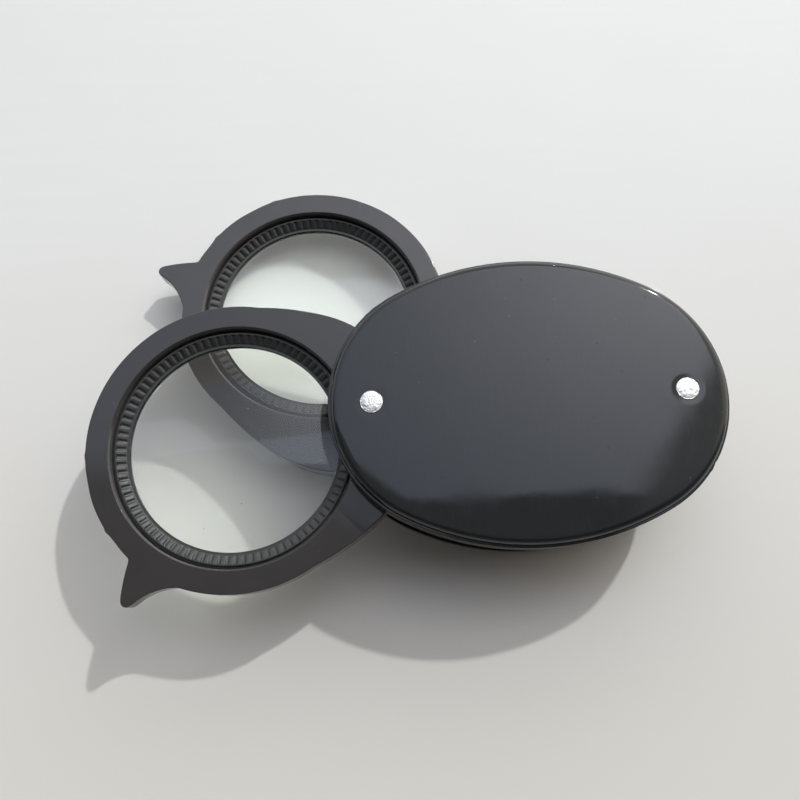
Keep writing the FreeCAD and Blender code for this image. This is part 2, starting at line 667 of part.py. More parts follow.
def make_retaining_ring(name, angle, level):
    """The ring that holds the lens down: a slope cut into radial ribs, with a bead outside it."""
    body = new_body(name)
    land_edge = "sheet.ring_mouth + sheet.mouth_land"
    bead_edge = "sheet.ring_body - sheet.ring_bead"
    outline = [
        ("sheet.ring_mouth", "0"),
        ("sheet.ring_base", "0"),
        ("sheet.ring_base", "sheet.ring_flange"),
        ("sheet.ring_body", "sheet.ring_flange"),
        ("sheet.ring_body", "sheet.ring_height"),
        (bead_edge, "sheet.ring_height"),
        (land_edge, "sheet.mouth_height"),
        ("sheet.ring_mouth", "sheet.mouth_height"),
    ]
    revolve(body, polygon_sketch(body, f"{name}_section", outline))
    notch = [
        (land_edge, "sheet.mouth_height"),
        (f"{bead_edge} - sheet.rib_depth / 2", "sheet.ring_height - sheet.rib_depth"),
        (f"{bead_edge} - sheet.rib_depth / 2", "sheet.ring_height + sheet.rib_depth"),
        (land_edge, "sheet.ring_height + sheet.rib_depth"),
    ]
    cut = groove(body, polygon_sketch(body, f"{name}_notch", notch), angle="sheet.notch_angle")
    pattern = body.newObject("PartDesign::PolarPattern", f"{name}_ribs")
    pattern.Originals = [cut]
    pattern.Axis = (cut.Profile[0], ["V_Axis"])
    pattern.Angle = 360.0
    bind(pattern, Occurrences="sheet.rib_count")
    body.Tip = pattern
    put_on_pivot(body, angle, f"{level} + sheet.lip_thick + sheet.lens_rim", "sheet.ring_offset")
    return body


def make_pivot_stack():
    """The friction washers and the spacer on the pivot rivet, from the bottom up."""
    gap = "sheet.running_gap"
    thick = "sheet.washer_thick"
    radius = "sheet.washer_radius"
    spacer_level = f"{LOWER_FRAME} + sheet.frame_thick + {gap} + {thick}"
    levels = [
        ("washer_under_lower_frame", "sheet.bottom_boss"),
        ("washer_over_lower_frame", f"{LOWER_FRAME} + sheet.frame_thick + {gap}"),
        ("washer_under_upper_frame", f"{UPPER_FRAME} - {gap} - {thick}"),
        ("washer_over_upper_frame", f"{TOP_BOSS} - {thick}"),
    ]
    pieces = [make_sleeve(name, radius, level, thick) for name, level in levels]
    return pieces + [make_sleeve("pivot_spacer", radius, spacer_level, "sheet.spacer_length")]


def make_rear_post():
    return make_sleeve(
        "rear_post", "sheet.post_radius", "sheet.bottom_boss", f"{TOP_BOSS} - sheet.bottom_boss", ""
    )


def make_pieces():
    pieces = [make_bottom_cover(), make_top_cover()]
    pieces += [make_rivet("pivot_rivet", "-"), make_rivet("rear_rivet", "")]
    pieces += make_pivot_stack() + [make_rear_post()]
    for side, angle, level in (
        ("upper", "upper_angle", UPPER_FRAME),
        ("lower", "lower_angle", LOWER_FRAME),
    ):
        pieces.append(make_lens_frame(f"{side}_lens_frame", angle, level))
        pieces.append(make_lens(f"{side}_lens", angle, level))
        pieces.append(make_retaining_ring(f"{side}_retaining_ring", angle, level))
    return pieces


def check_document(pieces):
    doc.recompute()
    for item in doc.Objects:
        if "Invalid" in item.State or "Error" in item.State:
            raise RuntimeError(f"{item.Name} failed: {item.State}")
    for piece in pieces:
        shape = piece.Shape
        if shape.isNull() or not shape.isValid() or len(shape.Solids) != 1:
            raise RuntimeError(f"{piece.Label} isn't one valid solid")


def write_steps(pieces):
    os.makedirs("parts", exist_ok=True)
    for piece in pieces:
        piece.Shape.exportStep(f"parts/{piece.Label}.step")
        box = piece.Shape.BoundBox
        print(
            f"{piece.Label:26} x {box.XMin:7.2f} {box.XMax:7.2f}  y {box.YMin:7.2f} {box.YMax:7.2f}"
            f"  z {box.ZMin:6.2f} {box.ZMax:6.2f}  volume {piece.Shape.Volume:9.1f}"
        )


pieces = make_pieces()
check_document(pieces)
write_steps(pieces)
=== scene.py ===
import bisect
import json
import math

import bpy
from mathutils import Matrix, Vector, noise


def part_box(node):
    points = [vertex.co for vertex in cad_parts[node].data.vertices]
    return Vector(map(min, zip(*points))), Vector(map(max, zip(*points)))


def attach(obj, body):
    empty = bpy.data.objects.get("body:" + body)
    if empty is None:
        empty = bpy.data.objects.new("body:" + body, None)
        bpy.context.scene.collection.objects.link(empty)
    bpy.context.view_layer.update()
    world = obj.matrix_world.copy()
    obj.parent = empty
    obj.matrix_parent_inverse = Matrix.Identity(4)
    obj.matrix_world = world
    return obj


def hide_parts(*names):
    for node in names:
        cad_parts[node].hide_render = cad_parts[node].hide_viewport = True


# A folding pocket magnifier: an oval black case with two lens frames swung out of it.
# Lengths are in millimetres here and become metres when a mesh is made. Lamps and the camera are
# placed in metres.
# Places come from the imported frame. The sizes below follow the CAD's driving sizes, with finer edges,
# ribs and rivet heads, and a recess 0.05 mm wider and deeper for each rivet's foot.

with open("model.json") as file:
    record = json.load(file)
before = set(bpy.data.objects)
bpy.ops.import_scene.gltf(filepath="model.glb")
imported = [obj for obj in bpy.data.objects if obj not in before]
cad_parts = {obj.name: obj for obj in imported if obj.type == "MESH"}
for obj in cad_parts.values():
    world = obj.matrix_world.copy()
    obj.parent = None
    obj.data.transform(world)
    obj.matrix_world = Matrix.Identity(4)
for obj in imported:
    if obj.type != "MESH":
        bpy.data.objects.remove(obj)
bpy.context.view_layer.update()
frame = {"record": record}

MM = 0.001

# The case
END_RADIUS = 22.5
LEDGE = 0.5
DOME_ROUND = 1.1
DOME_RISE = 0.4
SKIRT_HEIGHT = 3.85
SKIRT_RELIEF = 0.15
WALL = 1.5
BOSS_RADIUS = 4.0
SHANK_HOLE = 1.33
RECESS_RADIUS = 2.35
RECESS_DEPTH = 0.95
RIVET_DIMPLE = 0.035
RIVET_HEAD = 1.95
RIVET_FOOT = 2.1
TOP_HOLLOW = 3.1
BOTTOM_FLOOR = 1.3
BOTTOM_EDGE = 1.1
COVER_EDGE = 0.12
TOP_CEILING_INSET = 6.0
BOTTOM_FLOOR_INSET = 7.0
BOSS_FOOT = 0.5

# The rivets, with the upper head hammered over
RIVET_SHANK = 1.3
FOOT_THICK = 0.9
HEAD_DEPTH = 0.75
HEAD_START = 0.93
HEAD_DOME = 0.13
HEAD_DISH = 0.06
HEAD_SINK = 0.05
RIM_SINK = 0.03

# The lens frames
FRAME_THICK = 4.5
FRAME_EDGE = 0.32
RING_RADIUS = 25.7
RING_OFFSET = 25.15
RIVET_OFFSET = 26.9
FRAME_INSET = 0.25
SHOULDER = 7.6
SIGHT_RADIUS = 18.7
LIP_THICK = 0.9
LENS_SEAT = 20.35
LENS_RIM = 1.2
BORE_RADIUS = 21.47
BORE_BEVEL = 0.3
PIVOT_HOLE = 1.35
FRAME_UNDERSIDE = 20.0
BORE_LAND = 0.8
TAB_EDGE = 0.3

# The thumb tab
TAB_THICK = 3.6
TAB_ANGLE = 45.0
TAB_REACH = 31.15
TAB_TIP = 1.15
TAB_ROOT = 24.2
TAB_SHORT = 4.1
TAB_LONG = 7.8
TAB_HOLLOW = 11.0
TIP_SWEEP = 100
TAB_STEPS = 16

# The retaining rings
RING_BASE = 21.42
RING_FLANGE = 0.75
RING_BODY = 20.95
RING_HEIGHT = 1.35
RING_BEAD = 0.4
RING_MOUTH = 18.58
MOUTH_LAND = 0.5
MOUTH_HEIGHT = 0.3
RING_SOLE = (19.5, 20.0)
RIB_DEPTH = 0.35
RIB_COUNT = 90
RIB_STEPS = 12
RIB_HALF = 0.30
RIB_SLOPE = 0.22

# The lenses
LENS_RADIUS = 20.3
LENS_CLEAR = 18.6
LENS_RISE = 2.2
LENS_UNDER = 0.8

# How finely the meshes are divided, and the angle from which an edge stays sharp
OVAL_STEPS = 480
FRAME_STEPS = RIB_COUNT * RIB_STEPS
ROUND_STEPS = 96
SLEEVE_STEPS = 128
RIVET_STEPS = 120
LENS_STEPS = 180
DOME_RINGS = 70
DOME_START = 0.02
EDGE_RINGS = 8
HEAD_RINGS = 22
SHARP_ANGLE = math.radians(38.0)

# The light: the direction towards the sun, and how strong each source is
SUN = Vector((0.665, 0.842, 1.0))
SUN_POWER = 1.28
PANEL_POWER = 0.16
PANE = 0.95
BEYOND = 0.85
EAST = 0.8
ROOM = 0.015
WALLS = 0.3

# The oval of sunlight under each lens: its half sizes along and across the sun's direction, and how
# far its middle lies off the beam. Both ovals are turned a little from the sun's direction.
UPPER_SPOT = (9.1, 16.9, (-2.5, -0.4))
LOWER_SPOT = (14.3, 18.4, (-0.4, 0.7))
SPOT_TURN = math.radians(-9.4)

# The stage, in metres
TABLE_HALF = 3.0
WINDOW_PLACE = Vector((0.05, 0.24, 0.17))
WINDOW_SIZE = (0.25, 0.12)
CAMERA_PLACE = (-0.02334, -0.03552, 0.15370)
CAMERA_TURN = (15.236, 0.110, -2.471)


# ---------------------------------------------------------------- shapes in mesh code


def rounded(corners, steps=4, hold=0.04):
    """A polyline whose corners (x, y, radius) are rounded, with extra points that hold the flats."""
    points = []
    for number, (x, y, radius) in enumerate(corners):
        here = Vector((x, y))
        if radius == 0 or number in (0, len(corners) - 1):
            points.append(here)
            continue
        before = Vector(corners[number - 1][:2]) - here
        after = Vector(corners[number + 1][:2]) - here
        turn = math.pi - before.angle(after)
        reach = min(radius * math.tan(turn / 2), 0.45 * before.length, 0.45 * after.length)
        start = here + before.normalized() * reach
        end = here + after.normalized() * reach
        points.append(start + before.normalized() * min(hold, reach))
        for step in range(steps + 1):
            share = step / steps
            points.append(start.lerp(here, share).lerp(here.lerp(end, share), share))
        points.append(end + after.normalized() * min(hold, reach))
    return [tuple(point) for point in points]


def skin(name, rings, material, wrap=False, start=None, end=None):
    """An object from closed rings of equal length, joined in order. A start or end point shuts it."""
    count = len(rings[0])
    points = [point for ring in rings for point in ring]
    faces = []
    last = len(rings) if wrap else len(rings) - 1
    for row in range(last):
        low, high = row * count, (row + 1) % len(rings) * count
        for i in range(count):
            j = (i + 1) % count
            faces.append((low + i, low + j, high + j, high + i))
    if start is not None:
        points.append(start)
        faces += [((i + 1) % count, i, len(points) - 1) for i in range(count)]
    if end is not None:
        points.append(end)
        low = (len(rings) - 1) * count
        faces += [(low + i, low + (i + 1) % count, len(points) - 1) for i in range(count)]
    mesh = bpy.data.meshes.new(name)
    mesh.from_pydata([Vector(point) * MM for point in points], [], faces)
    return finish_mesh(name, mesh, material)


def finish_mesh(name, mesh, material):
    """An object from a mesh, shaded smooth apart from its sharp edges."""
    mesh.validate()
    mesh.shade_smooth()
    mesh.set_sharp_from_angle(angle=SHARP_ANGLE)
    mesh.materials.clear()
    mesh.materials.append(material)
    piece = bpy.data.objects.new(name, mesh)
    bpy.context.collection.objects.link(piece)
    return piece


def circle(radius, height, steps, centre=(0.0, 0.0)):
    """A level ring of points."""
    return [
        (
            centre[0] + radius * math.cos(math.tau * i / steps),
            centre[1] + radius * math.sin(math.tau * i / steps),
            height,
        )
        for i in range(steps)
    ]


def lathe(name, corners, material, centre, steps=ROUND_STEPS):
    """A turned piece from a closed outline of (radius, height, rounding) corners."""
    outline = rounded(corners + [corners[0]])[:-1]
    rings = [circle(radius, height, steps, centre) for radius, height in outline]
    return skin(name, rings, material, wrap=True)


def join(pieces):
    """Puts the meshes of several objects into the first."""
    bpy.ops.object.select_all(action="DESELECT")
    for piece in pieces:
        piece.select_set(True)
    bpy.context.view_layer.objects.active = pieces[0]
    bpy.ops.object.join()
    return pieces[0]


def drill(piece, cutter):
    """Cuts one closed object out of another and throws the cutter away."""
    cut = piece.modifiers.new("drill", "BOOLEAN")
    cut.object = cutter
    cut.solver = "EXACT"
    result = bpy.data.meshes.new_from_object(
        piece.evaluated_get(bpy.context.evaluated_depsgraph_get())
    )
    piece.modifiers.remove(cut)
    old, piece.data = piece.data, result
    bpy.data.meshes.remove(old)
    bpy.data.objects.remove(cutter)
    result.shade_smooth()
    result.set_sharp_from_angle(angle=SHARP_ANGLE)


def box_mm(node):
    """A node's lowest and highest corners at rest, in millimetres."""
    low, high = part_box(node)
    return low / MM, high / MM


def ripple(x, y, seed, size=9.0, height=0.012):
    """The faint unevenness of a moulded face."""
    return height * noise.noise(Vector((x / size, y / size, seed)))


def soft_step(value):
    """Goes smoothly from zero to one."""
    value = min(1.0, max(0.0, value))
    return value * value * (3 - 2 * value)


# ---------------------------------------------------------------- the case's oval


class Oval:
    """The four-arc oval of the case. A point is found by its outward direction."""

    def __init__(self, half_length, half_width, end_radius):
        self.end = end_radius
        self.end_x = half_length - end_radius
        spread = self.end_x**2 + half_width**2 - end_radius**2
        self.side = spread / (2 * (half_width - end_radius))
        self.side_y = self.side - half_width
        self.turn = math.atan2(self.side_y, self.end_x)
        self.angles = [self.direction(i / OVAL_STEPS) for i in range(OVAL_STEPS)]

    def direction(self, share):
        """The angle of the outward direction at that share of the way round."""
        quarter = share * 4 % 4
        part = quarter % 1
        if int(quarter) % 2:
            part = 1 - part
        first = self.end * self.turn
        way = part * (first + self.side * (math.pi / 2 - self.turn))
        if way < first:
            angle = way / self.end
        else:
            angle = self.turn + (way - first) / self.side
        return (angle, math.pi - angle, math.pi + angle, math.tau - angle)[int(quarter)]

    def point(self, angle, inset):
        """The point inside the outline whose outward direction has that angle."""
        across, along = math.cos(angle), math.sin(angle)
        if math.atan2(abs(along), abs(across)) <= self.turn:
            centre = (math.copysign(self.end_x, across), 0.0)
            radius = self.end - inset
        else:
            centre = (0.0, -math.copysign(self.side_y, along))
            radius = self.side - inset
        return centre[0] + radius * across, centre[1] + radius * along

    def ring(self, inset, height):
        """A level ring that far inside the outline."""
        return [(*self.point(angle, inset), height) for angle in self.angles]

    def shrunk(self, inset, scale, height):
        """The same, scaled towards the middle."""
        return [(x * scale, y * scale, z) for x, y, z in self.ring(inset, height)]


cover_low, cover_high = box_mm("top_cover")
pan_high = box_mm("bottom_cover")[1]
case = Oval(cover_high.x, cover_high.y, END_RADIUS)
pan = Oval(pan_high.x, pan_high.y, END_RADIUS - (cover_high.x - pan_high.x))
PIVOT = tuple(v / MM for v in frame["record"]["behaviour"]["joints"][0]["pos_m"][:2])
REAR = (-PIVOT[0], PIVOT[1])


def crown(x, y):
    """Height of the dome's face, sunk a little round each rivet."""
    reach = (x / (cover_high.x - LEDGE)) ** 2 + (y / (cover_high.y - LEDGE)) ** 2
    height = cover_high.z - DOME_RISE * reach
    for rivet in (PIVOT, REAR):
        away = math.dist((x, y), rivet)
        height -= RIVET_DIMPLE * soft_step(RIVET_HEAD + 0.9 - away)
    return height + ripple(x, y, 3.0)


# Burrs, and one chip, on the ledge: the angle round the case, the width and the height of each.
FLASH_MARKS = (
    (-0.66, 0.012, 0.20),
    (-0.60, 0.020, -0.16),
    (2.25, 0.025, 0.14),
    (2.32, 0.012, 0.12),
)


def flash(angle, height):
    """How far the burrs that the mould left stand out from the ledge."""
    burr = 0.0
    for place, width, size in FLASH_MARKS:
        away = (angle - place + math.pi) % math.tau - math.pi
        burr += size * math.exp(-((away / width) ** 2))
    return burr * (0.7 + 0.6 * noise.noise(Vector((height * 2.0, angle * 30.0, 0.0))))


def make_top_cover(material):
    """A crowned oval dome on a skirt, with a narrow step where they meet."""
    top_edge = LEDGE + DOME_ROUND
    rings = []
    for n in range(DOME_RINGS + 1):
        scale = DOME_START + (1 - DOME_START) * (n / DOME_RINGS)
        flat = case.shrunk(top_edge, scale, 0.0)
        rings.append([(x, y, crown(x, y)) for x, y, _ in flat])
    for step in range(1, EDGE_RINGS + 1):
        lean = math.radians(90 * step / EDGE_RINGS)
        inset = top_edge - DOME_ROUND * math.sin(lean)
        drop = DOME_ROUND * (1 - math.cos(lean))
        rings.append([(x, y, crown(x, y) - drop) for x, y, _ in case.ring(inset, 0.0)])
    skirt_low = cover_low.z + SKIRT_RELIEF
    ledge_level = skirt_low + SKIRT_HEIGHT
    ceiling = cover_low.z + TOP_HOLLOW
    outside = rounded([
        (LEDGE, ledge_level + 0.35, 0.0),
        (LEDGE, ledge_level, COVER_EDGE),
        (0.0, ledge_level, 0.14),
        (0.0, skirt_low, COVER_EDGE),
        (WALL, skirt_low, COVER_EDGE),
        (WALL, ceiling, 0.5),
        (TOP_CEILING_INSET, ceiling, 0.0),
    ])
    for inset, height in outside:
        ring = []
        near_ledge = inset < 0.3 and height > skirt_low + 1.0
        for angle in case.angles:
            burr = flash(angle, height) if near_ledge else 0.0
            ring.append((*case.point(angle, inset - burr), height))
        rings.append(ring)
    rings += [case.shrunk(TOP_CEILING_INSET, scale, ceiling) for scale in (0.75, 0.5, 0.25)]
    middle = (0.0, 0.0, crown(0.0, 0.0))
    shell = skin("top_cover_shell", rings, material, start=middle, end=(0.0, 0.0, ceiling))
    bosses = [make_boss(centre, ceiling + 0.1, cover_low.z, material) for centre in (PIVOT, REAR)]
    return join([shell] + bosses)


def make_boss(centre, root, face, material):
    """A boss round a rivet inside a cover, with a soft foot where it meets the cover."""
    away = 1.0 if root > face else -1.0
    return lathe(
        "boss",
        [
            (SHANK_HOLE, root, 0.0),
            (BOSS_RADIUS + BOSS_FOOT, root, 0.0),
            (BOSS_RADIUS, root - away * 0.6, 0.5),
            (BOSS_RADIUS, face, 0.15),
            (SHANK_HOLE, face, 0.1),
        ],
        material,
        centre,
    )


def make_bottom_cover(material):
    """A shallow oval pan with a flat base, a rounded foot and a recess for each rivet."""
    rim = pan_high.z - SKIRT_RELIEF
    flat = BOTTOM_FLOOR_INSET
    outline = rounded([
        (flat, BOTTOM_FLOOR, 0.0),
        (WALL, BOTTOM_FLOOR, 0.4),
        (WALL, rim, COVER_EDGE),
        (0.0, rim, COVER_EDGE),
        (0.0, 0.0, BOTTOM_EDGE),
        (flat, 0.0, 0.0),
    ], steps=8)
    rings = [pan.shrunk(flat, scale, BOTTOM_FLOOR) for scale in (0.25, 0.5, 0.75)]
    rings += [pan.ring(inset, height) for inset, height in outline]
    rings += [pan.shrunk(flat, scale, 0.0) for scale in (0.75, 0.5, 0.25)]
    shell = skin(
        "bottom_cover_shell", rings, material,
        start=(0.0, 0.0, BOTTOM_FLOOR), end=(0.0, 0.0, 0.0),
    )
    for centre in (PIVOT, REAR):
        drill(shell, plug(centre, RECESS_RADIUS, -1.0, RECESS_DEPTH, material))
    bosses = [
        make_boss(centre, BOTTOM_FLOOR - 0.1, pan_high.z, material) for centre in (PIVOT, REAR)
    ]
    return join([shell] + bosses)


def plug(centre, radius, low, high, material):
    """A closed round bar for cutting holes."""
    rings = [circle(radius, height, ROUND_STEPS, centre) for height in (low, high)]
    return skin("plug", rings, material, start=(*centre, low), end=(*centre, high))


# ---------------------------------------------------------------- rivets and the pivot's stack


# The hammered head's rim from below: its share of the head's radius and its depth under the top.
RIM_PROFILE = ((HEAD_START, HEAD_DEPTH), (1.0, 0.62), (1.02, 0.45), (1.0, 0.3), (0.965, 0.2))


def make_rivet(name, seed, material):
    """A shank with a low upper head that was hammered over, and a flat head in the base."""
    low, high = box_mm(name)
    centre = ((low.x + high.x) / 2, (low.y + high.y) / 2)
    seat = high.z - HEAD_DEPTH
    rings = [
        circle(radius, height, RIVET_STEPS, centre)
        for radius, height in rounded([
            (0.5, low.z, 0.0),
            (RIVET_FOOT, low.z, 0.12),
            (RIVET_FOOT, FOOT_THICK, 0.1),
            (RIVET_SHANK, FOOT_THICK, 0.0),
            (RIVET_SHANK, seat - 0.2, 0.0),
        ])
    ]
    angles = [math.tau * i / RIVET_STEPS for i in range(RIVET_STEPS)]
    for share, drop in RIM_PROFILE:
        ring = []
        for angle in angles:
            reach = RIVET_HEAD * share * edge_wander(angle, seed)
            x, y = reach * math.cos(angle), reach * math.sin(angle)
            ring.append((centre[0] + x, centre[1] + y, high.z - drop - RIM_SINK))
        rings.append(ring)
    for n in range(HEAD_RINGS):
        share = HEAD_START * (1 - n / HEAD_RINGS)
        ring = []
        for angle in angles:
            reach = RIVET_HEAD * share * (1 + (edge_wander(angle, seed) - 1) * share)
            x, y = reach * math.cos(angle), reach * math.sin(angle)
            fall = HEAD_DOME * share**4 + HEAD_DISH * share**2
            height = high.z - HEAD_SINK - fall - hammered(x, y, seed)
            ring.append((centre[0] + x, centre[1] + y, height))
        rings.append(ring)
    top = (*centre, high.z - HEAD_SINK - hammered(0.0, 0.0, seed))
    return skin(f"{name}_peened", rings, material, start=(*centre, low.z), end=top)


def edge_wander(angle, seed):
    """How far the rim of a peened head is from round at that angle, where one is round."""
    around = Vector((math.cos(angle), math.sin(angle), seed))
    return 1.0 + 0.035 * noise.noise(around * 1.3) + 0.02 * noise.noise(around * 5.0)


def hammered(x, y, seed):
    """Depth of the small facets that the hammer left."""
    facet, facet_depth = 0.75, 0.05
    fine, fine_depth = 0.3, 0.03
    distances = noise.voronoi(Vector((x / facet, y / facet, seed)))[0]
    dent = facet_depth * min(1.0, distances[0] * 1.4)
    return dent + fine_depth * noise.noise(Vector((x / fine, y / fine, seed + 5.0)))


def make_sleeve(node, chamfer, material):
    """A washer, spacer or post: a tube with broken edges."""
    low, high = box_mm(node)
    centre = ((low.x + high.x) / 2, (low.y + high.y) / 2)
    outside = (high.x - low.x) / 2
    corners = [
        (SHANK_HOLE, (low.z + high.z) / 2, 0.0),
        (SHANK_HOLE, high.z, chamfer),
        (outside, high.z, chamfer),
        (outside, low.z, chamfer),
        (SHANK_HOLE, low.z, chamfer),
    ]
    return lathe(f"{node}_turned", corners, material, centre, SLEEVE_STEPS)


# ---------------------------------------------------------------- the lens frames


def tab_outline():
    """The thumb tab's outline as (angle, distance) from the middle of the lens, tab along zero."""
    lean = math.atan2(TAB_SHORT, TAB_REACH - TAB_ROOT) - math.asin(
        TAB_TIP / math.hypot(TAB_REACH - TAB_ROOT, TAB_SHORT)
    )
    first, last = lean - math.pi / 2, math.radians(TIP_SWEEP)
    tip = []
    for n in range(TAB_STEPS + 1):
        angle = first + (last - first) * n / TAB_STEPS
        tip.append((TAB_REACH + TAB_TIP * math.cos(angle), TAB_TIP * math.sin(angle)))
    start, end = Vector(tip[-1]), Vector((TAB_ROOT, TAB_LONG))
    run = end - start
    offset = math.sqrt(TAB_HOLLOW**2 - (run.length / 2) ** 2)
    centre = (start + end) / 2 + Vector((-run.y, run.x)).normalized() * -offset
    hollow = []
    for n in range(1, TAB_STEPS + 1):
        chord = start.lerp(end, n / TAB_STEPS)
        hollow.append(tuple(centre + (chord - centre).normalized() * TAB_HOLLOW))
    outline = [(TAB_ROOT, -TAB_SHORT)] + tip + hollow
    return sorted((math.atan2(y, x), math.hypot(x, y)) for x, y in outline)


TAB_TABLE = tab_outline()


def tab_radius(angle):
    """Distance to the tab's outline at that angle from the tab, or zero beside it."""
    if not TAB_TABLE[0][0] < angle < TAB_TABLE[-1][0]:
        return 0.0
    place = bisect.bisect(TAB_TABLE, (angle, 0.0))
    (a, near), (b, far) = TAB_TABLE[place - 1], TAB_TABLE[place]
    return near + (far - near) * (angle - a) / max(b - a, 1e-9)


def reach_to_arc(angle, centre, radius):
    """How far a line from the middle of the lens runs before it leaves that circle."""
    along = math.cos(angle) * centre[0] + math.sin(angle) * centre[1]
    return along + math.sqrt(along**2 - centre[0] ** 2 - centre[1] ** 2 + radius**2)


def core_radius(angle):
    """Distance to a frame's outline without its tab: a round ring and an oval pivot end."""
    side = math.copysign(1.0, math.sin(angle))
    middle = RIVET_OFFSET - RING_OFFSET
    nose = reach_to_arc(angle, (middle - case.end_x, 0.0), case.end - FRAME_INSET)
    flank = reach_to_arc(angle, (middle, -side * case.side_y), case.side - FRAME_INSET)
    x, y = nose * math.cos(angle) - middle + case.end_x, nose * math.sin(angle)
    oval = nose if math.atan2(abs(y), -x) < case.turn else flank
    if oval * math.cos(angle) > -SHOULDER:
        return RING_RADIUS
    return max(RING_RADIUS, oval)


def even_out(values, times):
    """Takes the corners off a closed run of numbers."""
    count = len(values)
    for _ in range(times):
        values = [
            (values[i - 1] + 2 * values[i] + values[(i + 1) % count]) / 4 for i in range(count)
        ]
    return values


# Ridges and flats on a frame's rim: degrees from the tab, width in degrees, and height.
RIM_MARKS = (
    (-22.5, 1.2, 0.17),
    (-17.0, 4.0, -0.12),
    (-54.0, 1.4, 0.14),
    (-43.0, 5.0, -0.1),
)


def mould_marks(angle, seed):
    """Small ridges and flats that the mould left on a frame's rim."""
    tab = math.radians(TAB_ANGLE)
    marks = 0.03 * noise.noise(Vector((math.cos(angle) * 4, math.sin(angle) * 4, seed)))
    for place, width, size in RIM_MARKS:
        away = (angle - tab - math.radians(place) + math.pi) % math.tau - math.pi
        marks += size * math.exp(-((away / math.radians(width)) ** 2))
    return marks


class FrameOutline:
    """A frame's outline with or without its tab, as points and inward directions."""

    def __init__(self, radii):
        angles = [math.tau * i / FRAME_STEPS for i in range(FRAME_STEPS)]
        self.points = [
            Vector((r * math.cos(a), r * math.sin(a))) for a, r in zip(angles, radii)
        ]
        self.inward = []
        for i in range(FRAME_STEPS):
            run = self.points[(i + 1) % FRAME_STEPS] - self.points[i - 1]
            self.inward.append(Vector((-run.y, run.x)).normalized())

    def ring(self, inset, height, weights=None):
        """A level ring that far inside the outline, or less where a weight is under one."""
        ring = []
        for i, point in enumerate(self.points):
            share = 1.0 if weights is None else weights[i]
            spot = point + self.inward[i] * inset * share
            ring.append((spot.x, spot.y, height))
        return ring


def between(first, second, share):
    """A ring part of the way from one ring to another."""
    return [tuple(Vector(a).lerp(Vector(b), share)) for a, b in zip(first, second)]


def make_frame(name, seed, material):
    """A flat ring with an oval pivot end and a thorn-shaped thumb tab, on its own origin."""
    angles = [math.tau * i / FRAME_STEPS for i in range(FRAME_STEPS)]
    tab = math.radians(TAB_ANGLE)
    core_radii = [core_radius(a) + mould_marks(a, seed) for a in angles]
    full_radii = [
        max(core, tab_radius((a - tab + math.pi) % math.tau - math.pi))
        for a, core in zip(angles, core_radii)
    ]
    core_radii, full_radii = even_out(core_radii, 3), even_out(full_radii, 5)
    full_radii = [max(full, core) for full, core in zip(full_radii, core_radii)]
    beyond = [min(1.0, (full - core) / 0.6) for full, core in zip(full_radii, core_radii)]
    core, full = FrameOutline(core_radii), FrameOutline(full_radii)
    top, low = FRAME_THICK, FRAME_THICK - TAB_THICK

    bore = rounded([
        (FRAME_UNDERSIDE, 0.0, 0.0),
        (SIGHT_RADIUS, 0.0, 0.12),
        (SIGHT_RADIUS, LIP_THICK, 0.08),
        (LENS_SEAT, LIP_THICK, 0.05),
        (LENS_SEAT, LIP_THICK + LENS_RIM, 0.05),
        (BORE_RADIUS, LIP_THICK + LENS_RIM, 0.05),
        (BORE_RADIUS, top - BORE_BEVEL, 0.07),
        (BORE_RADIUS + BORE_BEVEL, top, 0.1),
        (BORE_RADIUS + BORE_LAND, top, 0.0),
    ])
    rings = [circle(radius, height, FRAME_STEPS) for radius, height in bore]
    edge_start = FRAME_EDGE * 1.6
    shoulder = full.ring(edge_start, top)
    rings += [between(rings[-1], shoulder, share) for share in (0.25, 0.5, 0.75)]
    rim = rounded([
        (edge_start, top, 0.0),
        (0.0, top, FRAME_EDGE),
        (0.0, low + 0.6, 0.0),
    ], steps=6)
    rings += [full.ring(inset, height) for inset, height in rim]
    for lean in (0, 22, 45, 68, 90):
        inset = TAB_EDGE * (1 - math.cos(math.radians(lean)))
        height = low + TAB_EDGE * (1 - math.sin(math.radians(lean)))
        rings.append(full.ring(inset, height, beyond))
    foot = rounded([
        (0.0, low - 0.03, 0.0),
        (0.0, 0.0, FRAME_EDGE),
        (1.6, 0.0, 0.0),
    ], steps=6)
    rings += [core.ring(inset, height) for inset, height in foot]
    rings += [between(rings[-1], rings[0], share) for share in (0.33, 0.66)]
    rings = [
        [(x, y, z + (ripple(x, y, seed) if z > top - 0.02 else 0.0)) for x, y, z in ring]
        for ring in rings
    ]
    body = skin(name, rings, material, wrap=True)
    centre = (-RING_OFFSET, 0.0)
    drill(body, plug(centre, PIVOT_HOLE, -1.0, FRAME_THICK + 1.0, material))
    return body


def rib_share(i):
    """One on a rib and zero in the notch beside it."""
    phase = (i % RIB_STEPS) / RIB_STEPS
    return soft_step((RIB_HALF - abs(phase - 0.5)) / RIB_SLOPE + 0.5)


